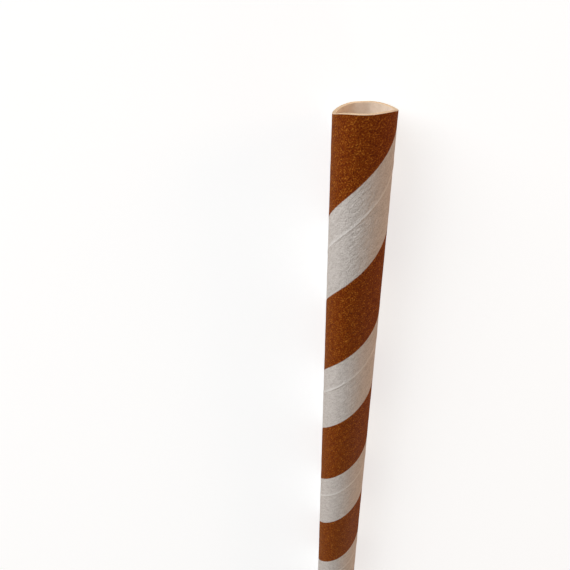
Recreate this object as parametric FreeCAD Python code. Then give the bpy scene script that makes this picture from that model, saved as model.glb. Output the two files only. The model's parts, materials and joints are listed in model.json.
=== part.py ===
"""A paper drinking straw, lying on its side as it comes to rest on a table.

It is one piece: strips of paper, wound round a rod, glued to each other into one wall,
and cut to length with a blade. X runs along the straw, with its mouth at +X. The origin
is on the table, under the middle of the straw. Sizes are in millimetres.
"""

import FreeCAD
import Part
import math
import os

# The tube
straw_length = 197.0
outer_diameter = 6.0
wall = 0.4

# Soft paper gives along the side that the straw lies on, inside and out, and rests on
# a narrow flat there
resting_flat_width = 1.5

# The blade leaves the mouth a little out of square: its longest side stands this far
# ahead of its shortest, and lies this far round the tube, from +Y towards +Z
mouth_slant = 0.8
mouth_slant_turn = 112.0

outer_radius = outer_diameter / 2
bore_radius = outer_radius - wall
axis_height = math.sqrt(outer_radius ** 2 - (resting_flat_width / 2) ** 2)
axis_point = FreeCAD.Vector(0, 0, axis_height)
along = FreeCAD.Vector(1, 0, 0)
stock_length = straw_length + mouth_slant


def flattened_rod(radius, flat_height):
    """A rod on the straw's axis, with a flat underneath at a height above the table."""
    start = axis_point - along * (straw_length / 2)
    rod = Part.makeCylinder(radius, stock_length, start, along)
    below = Part.makeBox(2 * stock_length, 4 * radius, 2 * radius)
    below.translate(FreeCAD.Vector(-stock_length, -2 * radius, flat_height - 2 * radius))
    return rod.cut(below)


def wound_tube():
    """The tube as it comes off the winding rod: one wall round a clear bore."""
    outside = flattened_rod(outer_radius, 0)
    bore = flattened_rod(bore_radius, wall)
    return outside.cut(bore)


def cut_mouth(tube):
    """Cut the mouth with one slanted plane, whose furthest side ends at full length."""
    slope = math.degrees(math.atan(mouth_slant / outer_diameter))
    waste_size = 2 * (outer_diameter + mouth_slant)
    waste = Part.makeBox(waste_size, waste_size, waste_size, axis_point)
    waste.translate(FreeCAD.Vector(0, -waste_size / 2, -waste_size / 2))
    waste.rotate(axis_point, FreeCAD.Vector(0, 0, 1), -slope)
    waste.rotate(axis_point, along, mouth_slant_turn)
    waste.translate(along * ((straw_length - mouth_slant) / 2))
    return tube.cut(waste)


os.makedirs("parts", exist_ok=True)
paper_straw = cut_mouth(wound_tube())
paper_straw.exportStep("parts/straw.step")
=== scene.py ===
import json
import math

import bpy
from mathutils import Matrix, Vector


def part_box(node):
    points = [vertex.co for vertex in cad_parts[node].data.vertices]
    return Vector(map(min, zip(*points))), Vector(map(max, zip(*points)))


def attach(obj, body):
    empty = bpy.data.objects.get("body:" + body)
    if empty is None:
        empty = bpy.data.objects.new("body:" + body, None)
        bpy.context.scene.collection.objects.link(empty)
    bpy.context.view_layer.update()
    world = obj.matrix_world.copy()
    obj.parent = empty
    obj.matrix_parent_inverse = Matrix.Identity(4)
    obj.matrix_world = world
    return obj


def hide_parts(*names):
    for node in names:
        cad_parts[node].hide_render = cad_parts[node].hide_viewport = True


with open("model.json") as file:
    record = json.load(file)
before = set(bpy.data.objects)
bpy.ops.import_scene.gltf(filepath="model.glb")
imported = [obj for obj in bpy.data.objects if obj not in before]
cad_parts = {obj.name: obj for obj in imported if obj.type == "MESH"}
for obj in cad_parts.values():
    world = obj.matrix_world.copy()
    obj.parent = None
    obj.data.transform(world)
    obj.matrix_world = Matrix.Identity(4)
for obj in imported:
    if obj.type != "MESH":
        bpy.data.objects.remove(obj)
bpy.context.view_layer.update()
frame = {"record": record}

# A paper straw is one tube of three glued strips of paper, wound round a rod in a helix and
# cut to length with a blade. It is soft enough to rest on a narrow flat. The blade leaves the
# mouth a little out of square and out of true, and the other end square.
mounts = {mount["name"]: mount for mount in frame["record"]["mounts"]}
straw_low, straw_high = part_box("straw")
straw_length = straw_high.x - straw_low.x
outer_radius = mounts["outside"]["dims"]["r_mm"] / 1000
wall_thickness = outer_radius - mounts["bore"]["dims"]["r_mm"] / 1000
axis_height = mounts["outside"]["pos_m"][2]
strip_pitch = 0.02118
mouth_setback = 0.00049
mouth_slant = 0.0008
mouth_slant_turn = 107 / 360
mouth_bow = 0.000177
mouth_bow_turn = 89 / 360
mouth_wave = 0.000058
mouth_wave_turn = 34.5 / 360
mouth_ripple = 0.000042
mouth_ripple_turn = 43 / 360
blade_wander = 0.00003
nick_density = 2.5
mouth_nick_seed = 0.0
far_end_nick_seed = 7.0
edge_rounding = 0.00004
flat_softness = 0.00008
columns = 96
picture_rows = 3
picture_gap = 0.0005
picture_edge = 0.0015
full_turn = 2 * math.pi
quarter_turn = 0.25


def plug(tree, socket, value):
    """Set a node's input to a value, or join it to another node's output."""
    if isinstance(value, Field):
        value = value.output
    if isinstance(value, bpy.types.NodeSocket):
        tree.links.new(value, socket)
    else:
        socket.default_value = value


def add_node(tree, kind, inputs=(), **settings):
    """Add a node with its settings, and with its inputs given by name or by number."""
    node = tree.nodes.new(kind)
    for name, value in settings.items():
        setattr(node, name, value)
    for name, value in dict(inputs).items():
        plug(tree, node.inputs[name], value)
    return node


class Field:
    """A number that varies over the paper. Arithmetic on it adds Math nodes to its tree."""

    def __init__(self, tree, output):
        self.tree = tree
        self.output = output

    def math(self, operation, *others):
        numbers = enumerate((self, *others))
        step = add_node(self.tree, "ShaderNodeMath", numbers, operation=operation)
        return Field(self.tree, step.outputs[0])

    def __add__(self, other):
        return self.math("ADD", other)

    def __sub__(self, other):
        return self.math("SUBTRACT", other)

    def __rsub__(self, other):
        return self.math("MULTIPLY_ADD", -1.0, other)

    def __mul__(self, other):
        return self.math("MULTIPLY", other)

    def __truediv__(self, other):
        return self.math("DIVIDE", other)

    def falling_over(self, reach):
        """1 where the number is 0, dying away as it passes a reach."""
        return (self / -reach).math("EXPONENT")

    def rising(self, low, high):
        """0 below a range and 1 above it, with a smooth rise between."""
        inputs = {"Value": self, "From Min": low, "From Max": high}
        ramp = add_node(self.tree, "ShaderNodeMapRange", inputs, interpolation_type="SMOOTHSTEP")
        return Field(self.tree, ramp.outputs[0])


def as_vector(tree, x, y, z=0.0):
    """Three numbers as one vector."""
    return add_node(tree, "ShaderNodeCombineXYZ", {"X": x, "Y": y, "Z": z}).outputs[0]


def noise(tree, place, density, detail=2.0):
    """Smooth noise about 0, from about -0.5 to 0.5, with so many cells in a unit of its place."""
    inputs = {"Vector": place, "Scale": density, "Detail": detail}
    return Field(tree, add_node(tree, "ShaderNodeTexNoise", inputs).outputs[0]) - 0.5


winding = bpy.data.node_groups.new("straw_winding", "GeometryNodeTree")
winding.is_modifier = True
winding.interface.new_socket("Straw", in_out="OUTPUT", socket_type="NodeSocketGeometry")
winding_sizes = {}


def size(name, value):
    """A named input of the winding tree, with the value that this straw gives it."""
    socket = winding.interface.new_socket(name, in_out="INPUT", socket_type="NodeSocketFloat")
    winding_sizes[socket.identifier] = value
    return Field(winding, add_node(winding, "NodeGroupInput").outputs[name])


length = size("Length", straw_length)
radius = size("Outer radius", outer_radius)
wall = size("Wall", wall_thickness)
height = size("Axis height", axis_height)
pitch = size("Strip pitch", strip_pitch)
setback = size("Mouth setback", mouth_setback)
slant = size("Mouth slant", mouth_slant)
bow = size("Mouth bow", mouth_bow)
wave = size("Mouth wave", mouth_wave)
ripple = size("Mouth ripple", mouth_ripple)
wander = size("Blade wander", blade_wander)
rounding = size("Edge rounding", edge_rounding)
softness = size("Flat softness", flat_softness)
girth = radius * full_turn
helix_length = (pitch * pitch + girth * girth).math("SQRT")
strip_width = pitch * girth / helix_length
strip_length = length * helix_length / pitch + girth * girth / helix_length
row_length = strip_length / picture_rows
row_rise = strip_width + picture_gap
picture_side = row_length.math("MAXIMUM", row_rise * (picture_rows * 2) + wall) + picture_edge * 2


def swing(turn, start, times=1):
    """A wave that goes round the tube so many times, and is highest at a turn."""
    return ((turn - start) * (full_turn * times)).math("COSINE")


def nicks(turn, seed):
    """The small unevenness of a blade's cut through paper, round the tube."""
    place = as_vector(winding, swing(turn, 0.0), swing(turn, quarter_turn), seed)
    return noise(winding, place, nick_density, detail=5.0) * wander


def mouth_cut(turn):
    """How far along the straw the mouth's cut lies, round the tube."""
    line = length / 2 - setback + nicks(turn, mouth_nick_seed)
    line += swing(turn, mouth_slant_turn) * slant / 2
    line += swing(turn, mouth_bow_turn, 2) * bow
    line += swing(turn, mouth_wave_turn, 3) * wave
    return line + swing(turn, mouth_ripple_turn, 4) * ripple


def far_cut(turn):
    """How far along the straw the square cut at its other end lies."""
    return nicks(turn, far_end_nick_seed).math("ABSOLUTE") - length / 2


def flat_grid(column_count, row_count):
    """A flat grid, and how far along and up it each of its points lies, from 0 to 1."""
    inputs = {"Vertices X": column_count + 1, "Vertices Y": row_count + 1}
    grid = add_node(winding, "GeometryNodeMeshGrid", inputs)
    here = add_node(winding, "GeometryNodeInputPosition").outputs[0]
    parts = add_node(winding, "ShaderNodeSeparateXYZ", {0: here})
    along = Field(winding, parts.outputs[0]) + 0.5
    up = Field(winding, parts.outputs[1]) + 0.5
    return grid.outputs[0], along, up


def on_picture(run, across, first_row):
    """A place on the square picture that the model's colours can be baked on.

    The strips lie there in rows, cut off between one face and the next.
    """
    settings = {"data_type": "FLOAT", "domain": "FACE"}
    face_run = add_node(winding, "GeometryNodeFieldOnDomain", {0: run}, **settings)
    row = (Field(winding, face_run.outputs[0]) / row_length).math("FLOOR")
    u = (run - row * row_length + picture_edge) / picture_side
    v = (across + (row + first_row) * row_rise + picture_edge) / picture_side
    return u, v


def lay(sheet, x, turn, reach, lowest, maps, turned_in=False):
    """Wrap a sheet round the axis, pressed level underneath, where the straw lies on the table.

    Each corner keeps its places in the maps. The sheet comes back with a mark on its faces, so
    that the glued straw can be given the right paper there.
    """
    settings = {"data_type": "FLOAT2", "domain": "CORNER"}
    for name, place in maps.items():
        inputs = {"Geometry": sheet, "Name": name, "Value": as_vector(winding, *place)}
        sheet = add_node(winding, "GeometryNodeStoreNamedAttribute", inputs, **settings).outputs[0]
    y = swing(turn, 0.0) * reach
    z = (swing(turn, quarter_turn) * reach + height).math("SMOOTH_MAX", lowest, softness)
    inputs = {"Geometry": sheet, "Position": as_vector(winding, x, y, z)}
    laid = add_node(winding, "GeometryNodeSetPosition", inputs)
    if turned_in:
        laid = add_node(winding, "GeometryNodeFlipFaces", {"Mesh": laid.outputs[0]})
    marked = add_node(winding, "GeometryNodeCaptureAttribute", {0: laid.outputs[0]}, domain="FACE")
    marked.capture_items.new("BOOLEAN", "Here")
    plug(winding, marked.inputs["Here"], True)
    return marked.outputs[0], marked.outputs["Here"]


# The outer strip is white paper, slit into a ribbon and printed with one brown band along it.
# Its two edges meet in a fine seam that runs up the straw with the print: one edge stands a
# little proud, and the glue draws the other down into a thin groove.
seam_setback = 0.01557
seam_rise = 0.00003
seam_rise_reach = 0.00022
seam_groove = 0.00001
seam_groove_reach = 0.00015
seam_step_reach = 0.00009
seam_bare_and_highlight_width = 0.00036
calm_reach = 0.0003
cockle_height = 0.00003
cockle_stretch = 0.6
cockles_per_metre = 600.0
crease_height = 0.00002
crease_stretch = 0.25
creases_per_metre = 900.0
crease_patches_per_metre = 250.0
crease_patch_seed = 3.0
crease_patch_range = (-0.1, 0.15)
band_setback = 0.00263
band_width = 0.0071
band_blur = 0.00005
spare_turns = 1
outer_rows = 76
row_crowding = 0.55
row_crowding_halfway = 0.33
paper_white = (0.87, 0.825, 0.79, 1)
paper_grey = (0.67, 0.625, 0.59, 1)
paper_range = (-0.3, 0.35)
# Pale seam line: partly the bare slit edge of the paper, partly a painted highlight of the ridge.
seam_bare_and_highlight = (0.96, 0.93, 0.9, 1)
printed_roughness = 0.75
gloss_level = 0.2
fibre_gloss = (1.0, 0.78, 0.5, 1)
fuzz_weight = 0.16
fuzz_roughness = 0.45
fuzz_gold = (1.0, 0.62, 0.26, 1)
ink_brown = (0.26, 0.045, 0.0006, 1)
ink_dark = (0.13, 0.012, 0.0003, 1)
ink_range = (-0.3, 0.06)
ink_speck = (0.55, 0.18, 0.02, 1)
ink_speck_range = (0.0, 0.28)
fibre_stretch = 0.4
fibres_per_metre = 3500.0
clouds_per_metre = 1700.0
cloud_share = 0.5
specks_per_metre = 6400.0
band_nicks_per_metre = 3000.0
band_nick_size = 0.0001
fibre_relief = 0.00007
speck_relief_share = 0.8

rise = size("Seam rise", seam_rise)
groove = size("Seam groove", seam_groove)
cockle = size("Cockle height", cockle_height)
crease = size("Crease height", crease_height)


def relief(x, turn, seam):
    """How far the paper stands proud of a true tube, at its seam and where the glue cockles it."""
    ahead = (x - seam) / pitch
    share = (ahead - turn).math("FRACT")
    from_seam = share * strip_width
    to_seam = strip_width - from_seam
    crest = from_seam.falling_over(seam_rise_reach) + to_seam.falling_over(seam_step_reach)
    sunk = to_seam.falling_over(seam_groove_reach) - to_seam.falling_over(seam_step_reach)
    calm = from_seam.falling_over(calm_reach) + to_seam.falling_over(calm_reach)
    turns = ahead - share
    place = as_vector(winding, turns * helix_length * cockle_stretch, from_seam)
    waves = noise(winding, place, cockles_per_metre)
    place = as_vector(winding, x, turns * girth * crease_stretch)
    folds = noise(winding, place, creases_per_metre, detail=1.0)
    place = as_vector(winding, turns * helix_length, from_seam, crease_patch_seed)
    patches = noise(winding, place, crease_patches_per_metre)
    folds *= patches.rising(*crease_patch_range)
    # The noise swings by a half each way, so it is doubled to reach the full heights.
    return crest * rise - sunk * groove + (waves * cockle + folds * crease) * (1 - calm) * 2


def wound_strip(seam, row_count, reach, lowest, first_row, turned_in=False):
    """One strip as it lies in the tube, cut at both ends, with its rows crowded to the seam."""
    column_count = math.ceil((straw_length / strip_pitch + 2 * spare_turns) * columns)
    sheet, along, up = flat_grid(column_count, row_count)
    turn = (along - 1) * (column_count / columns) + spare_turns
    up += (up * full_turn).math("SINE") * (-row_crowding / full_turn)
    up += (up * (2 * full_turn)).math("SINE") * (-row_crowding_halfway / (2 * full_turn))
    x = seam + (turn + up) * pitch
    x = x.math("MINIMUM", mouth_cut(turn) - rounding)
    x = x.math("MAXIMUM", far_cut(turn) + rounding)
    across = ((x - seam) / pitch - turn) * strip_width
    slide = (x * pitch + turn * girth * girth) / helix_length
    last_slide = (length * pitch / 2 + (length / 2 - seam) / pitch * girth * girth) / helix_length
    maps = {"strip": (slide, across), "OFBake": on_picture(last_slide - slide, across, first_row)}
    return lay(sheet, x, turn, reach(x, turn), lowest, maps, turned_in)


def new_paper(name, roughness):
    """An empty material for bare or printed paper, its node tree and its shader."""
    material = bpy.data.materials.new(name)
    material.use_nodes = True
    tree = material.node_tree
    tree.nodes.clear()
    inputs = {"Roughness": roughness, "Specular IOR Level": gloss_level}
    shader = add_node(tree, "ShaderNodeBsdfPrincipled", inputs)
    plug(tree, shader.inputs["Specular Tint"], fibre_gloss)
    add_node(tree, "ShaderNodeOutputMaterial", {"Surface": shader.outputs[0]})
    return material, tree, shader


def strip_place(tree):
    """How far along the flat strip a point of the paper lies, and how far across it."""
    strip = add_node(tree, "ShaderNodeUVMap", uv_map="strip")
    parts = add_node(tree, "ShaderNodeSeparateXYZ", {0: strip.outputs[0]})
    return Field(tree, parts.outputs[0]), Field(tree, parts.outputs[1])


def blend(tree, share, first, second):
    """A colour part of the way from a first to a second."""
    inputs = {"Fac": share, "Color1": first, "Color2": second}
    return add_node(tree, "ShaderNodeMixRGB", inputs).outputs[0]


def printed_paper():
    """White paper with the brown band, whose ink lies thin and mottled on the fibres."""
    material, tree, shader = new_paper("printed paper", printed_roughness)
    slide, across = strip_place(tree)
    flat = as_vector(tree, slide, across)
    stretched = as_vector(tree, slide * fibre_stretch, across)
    fibres = noise(tree, stretched, fibres_per_metre, detail=4.0)
    clouds = noise(tree, flat, clouds_per_metre, detail=4.0)
    specks = noise(tree, flat, specks_per_metre, detail=1.0)
    grain = clouds * cloud_share + fibres + specks
    paper = blend(tree, grain.rising(*paper_range), paper_white, paper_grey)
    # A pale line along the proud edge of the seam: partly the bare slit edge of the paper, partly
    # a painted highlight where the ridge catches the light.
    paper = blend(tree, across.rising(seam_bare_and_highlight_width, 0.0), paper, seam_bare_and_highlight)
    mottle = clouds * cloud_share + specks
    ink = blend(tree, mottle.rising(*ink_range), ink_dark, ink_brown)
    ink = blend(tree, mottle.rising(*ink_speck_range), ink, ink_speck)
    ragged = noise(tree, flat, band_nicks_per_metre, detail=3.0) * band_nick_size
    first_edge = (across + ragged - band_setback).rising(-band_blur, band_blur)
    last_edge = (band_setback + band_width - across + ragged).rising(-band_blur, band_blur)
    inked = first_edge * last_edge
    plug(tree, shader.inputs["Base Color"], blend(tree, inked, paper, ink))
    plug(tree, shader.inputs["Sheen Weight"], fuzz_weight)
    plug(tree, shader.inputs["Sheen Roughness"], fuzz_roughness)
    plug(tree, shader.inputs["Sheen Tint"], fuzz_gold)
    inputs = {"Height": fibres + specks * speck_relief_share, "Distance": fibre_relief}
    plug(tree, shader.inputs["Normal"], add_node(tree, "ShaderNodeBump", inputs).outputs[0])
    return material


outer_seam = length / 2 - size("Seam setback", seam_setback)


def outer_reach(x, turn):
    """How far from the axis the printed face of the paper lies."""
    return radius + relief(x, turn, outer_seam)


outer_strip, is_printed = wound_strip(outer_seam, outer_rows, outer_reach, lowest=0.0, first_row=0)
finishes = [(is_printed, printed_paper())]

# The inner strip is the same paper, left plain. It lines the bore, where its own fine seam
# runs round between the printed seams; the dim, warm light in there is painted into its colours.
inner_seam_setback = 0.0071
inner_rows = 12
lining_painted_warm = (0.96, 0.82, 0.69, 1)
lining_cloud_painted_warm = (0.87, 0.72, 0.58, 1)
lining_range = (-0.3, 0.5)
lining_roughness = 0.85
lining_fibres_per_metre = 6000.0
lining_clouds_per_metre = 1500.0
lining_cloud_share = 1.5
lining_relief = 0.000015

inner_seam = length / 2 - size("Inner seam setback", inner_seam_setback)


def inner_reach(x, turn):
    """How far from the axis the face of the lining lies."""
    return radius - wall - relief(x, turn, inner_seam)


def lining_paper():
    """The plain paper of the bore, cloudy and fibrous, with the bore's warm light painted in."""
    material, tree, shader = new_paper("lining paper", lining_roughness)
    slide, across = strip_place(tree)
    stretched = as_vector(tree, slide * fibre_stretch, across)
    fibres = noise(tree, stretched, lining_fibres_per_metre, detail=3.0)
    clouds = noise(tree, as_vector(tree, slide, across), lining_clouds_per_metre, detail=4.0)
    shaded = (clouds * lining_cloud_share + fibres).rising(*lining_range)
    # Both lining colours carry painted warm light of the dim bore, mixed by the cloudy fibres.
    plug(tree, shader.inputs["Base Color"], blend(tree, shaded, lining_painted_warm, lining_cloud_painted_warm))
    inputs = {"Height": fibres, "Distance": lining_relief}
    plug(tree, shader.inputs["Normal"], add_node(tree, "ShaderNodeBump", inputs).outputs[0])
    return material


inner_strip, is_lining = wound_strip(
    inner_seam, inner_rows, inner_reach, lowest=wall, first_row=picture_rows, turned_in=True
)
finishes.append((is_lining, lining_paper()))

# The cut ends show the raw paper of the wall. The blade rounds and crushes the edge a little,
# and the three glued strips part in two hair-thin lines round it.
ply_count = 3
ply_thickness = wall_thickness / ply_count
ply_line_depth = 0.000015
ply_line_reach = 0.00002
ply_line_sharpness = 0.4
ply_line_strays_per_metre = 1500.0
edge_rows = 24
edge_flatness = 8.0
raw_paper = (0.95, 0.75, 0.53, 1)
raw_shade = (0.84, 0.62, 0.41, 1)
raw_range = (-0.2, 0.4)
raw_roughness = 0.95
glue_brown = (0.5, 0.32, 0.18, 1)
glue_share = 0.6
fluff_per_metre = 9000.0
fluff_relief = 0.00002
mouth_picture_start = 0.0
far_end_picture_start = 1.1

plies = size("Plies", float(ply_count))
line_depth = size("Ply line depth", ply_line_depth)


def cut_paper():
    """The pale, fluffy cut through the fibres, with the glue showing thinly between the strips."""
    material, tree, shader = new_paper("cut paper", raw_roughness)
    here = add_node(tree, "ShaderNodeTexCoord").outputs["Object"]
    fluff = noise(tree, here, fluff_per_metre, detail=3.0)
    through = strip_place(tree)[1]
    strayed = through + noise(tree, here, ply_line_strays_per_metre) * ply_line_reach
    from_line = (strayed / ply_thickness).math("PINGPONG", 0.5) * ply_thickness
    in_wall = strayed.rising(0.0, ply_thickness)
    in_wall *= (wall_thickness - strayed).rising(0.0, ply_thickness)
    glue = from_line.falling_over(ply_line_reach) * in_wall * (fluff + glue_share)
    raw = blend(tree, fluff.rising(*raw_range), raw_paper, raw_shade)
    plug(tree, shader.inputs["Base Color"], blend(tree, glue, raw, glue_brown))
    inputs = {"Height": fluff, "Distance": fluff_relief}
    plug(tree, shader.inputs["Normal"], add_node(tree, "ShaderNodeBump", inputs).outputs[0])
    return material


def cut_face(cut, inwards, picture_start, turned_in=False):
    """The face of one cut, from the printed face of the wall through to its lining.

    It starts so many turns along its row on the picture.
    """
    sheet, turn, through = flat_grid(columns, edge_rows)
    rim = cut(turn) + rounding * inwards
    crown = (through * 2 - 1).math("ABSOLUTE").math("POWER", edge_flatness)
    in_ply = (through * plies * math.pi).math("SINE").math("ABSOLUTE")
    between = 1 - in_ply.math("POWER", ply_line_sharpness)
    dip = crown * rounding + (1 - crown) * between * line_depth
    outside = outer_reach(rim, turn)
    reach = outside + (inner_reach(rim, turn) - outside) * through
    across = through * wall
    picture_place = on_picture((turn + picture_start) * girth, across, picture_rows * 2)
    maps = {"strip": (turn * girth, across), "OFBake": picture_place}
    return lay(sheet, cut(turn) + dip * inwards, turn, reach, across, maps, turned_in)


mouth_face, is_mouth = cut_face(mouth_cut, -1, mouth_picture_start)
far_face, is_far_end = cut_face(far_cut, 1, far_end_picture_start, turned_in=True)
cut_material = cut_paper()
finishes += [(is_mouth, cut_material), (is_far_end, cut_material)]

# The whole straw is the strips and their cut ends, glued into one closed wall of paper. A fold
# as sharp as the rim stays crisp, and the rest is smooth.
merge_reach = 0.0000005
sharp_fold = math.radians(30)
empty_slot = 0

straw_parts = add_node(winding, "GeometryNodeJoinGeometry")
for part in (outer_strip, inner_strip, mouth_face, far_face):
    winding.links.new(part, straw_parts.inputs[0])
inputs = {"Geometry": straw_parts.outputs[0], "Distance": merge_reach}
glued = add_node(winding, "GeometryNodeMergeByDistance", inputs)
straw = add_node(winding, "GeometryNodeRealizeInstances", {"Geometry": glued.outputs[0]})
for marked_faces, paper in finishes:
    inputs = {"Geometry": straw.outputs[0], "Selection": marked_faces, "Material": paper}
    straw = add_node(winding, "GeometryNodeSetMaterial", inputs)
add_node(winding, "NodeGroupOutput", {0: straw.outputs[0]})

paper_straw = bpy.data.objects.new("paper_straw", bpy.data.meshes.new("unwound"))
bpy.context.scene.collection.objects.link(paper_straw)
winder = paper_straw.modifiers.new("winding", "NODES")
winder.node_group = winding
for identifier, value in winding_sizes.items():
    winder[identifier] = value
wound = paper_straw.evaluated_get(bpy.context.evaluated_depsgraph_get())
straw_mesh = bpy.data.meshes.new_from_object(wound)
paper_straw.modifiers.remove(winder)
paper_straw.data = straw_mesh
straw_mesh.materials.pop(index=empty_slot)
straw_mesh.shade_smooth()
straw_mesh.set_sharp_from_angle(angle=sharp_fold)
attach(paper_straw, "root")
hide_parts("straw")

# The floor is a plain pale table top. The camera sees it nearly white, with the soft shadow
# of the straw on it, and further off it fades into the white of the room.
floor_reach = 3.0
fade_from = 0.2
fade_to = 0.6
floor_pale = (0.67, 0.7, 0.725, 1)
pure_white = (1.0, 1.0, 1.0, 1)
floor_glow = 0.7
white_glow = 1.0

corners = [(-floor_reach, -floor_reach, 0), (floor_reach, -floor_reach, 0)]
corners += [(floor_reach, floor_reach, 0), (-floor_reach, floor_reach, 0)]
floor_mesh = bpy.data.meshes.new("floor")
floor_mesh.from_pydata(corners, [], [(0, 1, 2, 3)])
floor = bpy.data.objects.new("floor", floor_mesh)
bpy.context.scene.collection.objects.link(floor)
table_top = bpy.data.materials.new("pale table top")
table_top.use_nodes = True
tree = table_top.node_tree
tree.nodes.clear()
lit = add_node(tree, "ShaderNodeBsdfDiffuse", {"Color": floor_pale})
glow = add_node(tree, "ShaderNodeEmission", {"Color": pure_white, "Strength": floor_glow})
near = add_node(tree, "ShaderNodeAddShader", {0: lit.outputs[0], 1: glow.outputs[0]})
far = add_node(tree, "ShaderNodeEmission", {"Color": pure_white, "Strength": white_glow})
here = add_node(tree, "ShaderNodeTexCoord").outputs["Object"]
away = add_node(tree, "ShaderNodeVectorMath", {0: here}, operation="LENGTH").outputs["Value"]
faded = Field(tree, away).rising(fade_from, fade_to)
seen = add_node(tree, "ShaderNodeMixShader", {0: faded, 1: near.outputs[0], 2: far.outputs[0]})
rays = add_node(tree, "ShaderNodeLightPath")
inputs = {0: rays.outputs["Is Camera Ray"], 1: lit.outputs[0], 2: seen.outputs[0]}
surface = add_node(tree, "ShaderNodeMixShader", inputs)
add_node(tree, "ShaderNodeOutputMaterial", {"Surface": surface.outputs[0]})
floor_mesh.materials.append(table_top)

# A soft lamp lights the straw from its left and a little from beyond its mouth. A warm card on
# its right throws some light back, a weak lamp beside its far end keeps that from going dark,
# and a dim warm room fills the rest.
room_level = 0.12
room_colour = (1.0, 0.84, 0.7, 1)
key_level = 1.06
key_way = (0.9, 0.85, 0.4)
key_distance = 0.7
key_width = 0.6
key_colour = (1.0, 1.0, 1.0)
card_level = 0.35
card_way = (0.3, -0.9, 0.14)
card_distance = 0.7
card_width = 0.3
card_colour = (1.0, 0.6, 0.38)
back_level = 0.14
back_way = (-1.0, -0.6, 0.2)
back_distance = 0.62
back_width = 0.12
back_colour = (1.0, 0.86, 0.72)


def add_lamp(name, way, distance, width, level, colour):
    """A square soft lamp that lights the straw to a level, where 1 is a white room's light."""
    lamp = bpy.data.lights.new(name, "AREA")
    lamp.shape = "SQUARE"
    lamp.size = width
    lamp.color = colour
    lamp.energy = level * (math.pi * distance) ** 2
    lamp_object = bpy.data.objects.new(name, lamp)
    reach = distance / math.hypot(*way)
    lamp_object.location = [straw_high.x + way[0] * reach, way[1] * reach, way[2] * reach]
    lean = math.atan2(math.hypot(way[0], way[1]), way[2])
    lamp_object.rotation_euler = (0, lean, math.atan2(way[1], way[0]))
    bpy.context.scene.collection.objects.link(lamp_object)


add_lamp("key_lamp", key_way, key_distance, key_width, key_level, key_colour)
add_lamp("warm_card", card_way, card_distance, card_width, card_level, card_colour)
add_lamp("back_lamp", back_way, back_distance, back_width, back_level, back_colour)

room = bpy.data.worlds.new("pale room")
room.use_nodes = True
tree = room.node_tree
tree.nodes.clear()
rays = add_node(tree, "ShaderNodeLightPath")
dim = add_node(tree, "ShaderNodeBackground", {"Color": room_colour, "Strength": room_level})
white = add_node(tree, "ShaderNodeBackground", {"Color": pure_white, "Strength": white_glow})
inputs = {0: rays.outputs["Is Camera Ray"], 1: dim.outputs[0], 2: white.outputs[0]}
sky = add_node(tree, "ShaderNodeMixShader", inputs)
add_node(tree, "ShaderNodeOutputWorld", {"Surface": sky.outputs[0]})
bpy.context.scene.world = room

# The camera hangs over the mouth and looks steeply down and back along the straw, as the
# photograph does, with the mouth near the top of the picture.
camera_past_mouth = 0.01675
camera_aside = 0.00699
camera_height = 0.05503
off_straight_down = math.radians(35.14)
turned_aside = math.radians(0.965)
focal_length_mm = 36.5
frame_width_mm = 36.0
nearest_seen = 0.001

lens = bpy.data.cameras.new("camera")
lens.lens = focal_length_mm
lens.sensor_width = frame_width_mm
lens.clip_start = nearest_seen
camera = bpy.data.objects.new("camera", lens)
camera.location = (straw_high.x + camera_past_mouth, camera_aside, camera_height)
camera.rotation_euler = (-off_straight_down, 0, -math.pi / 2 - turned_aside)
bpy.context.scene.collection.objects.link(camera)
bpy.context.scene.camera = camera
bpy.context.scene.view_settings.view_transform = "Standard"
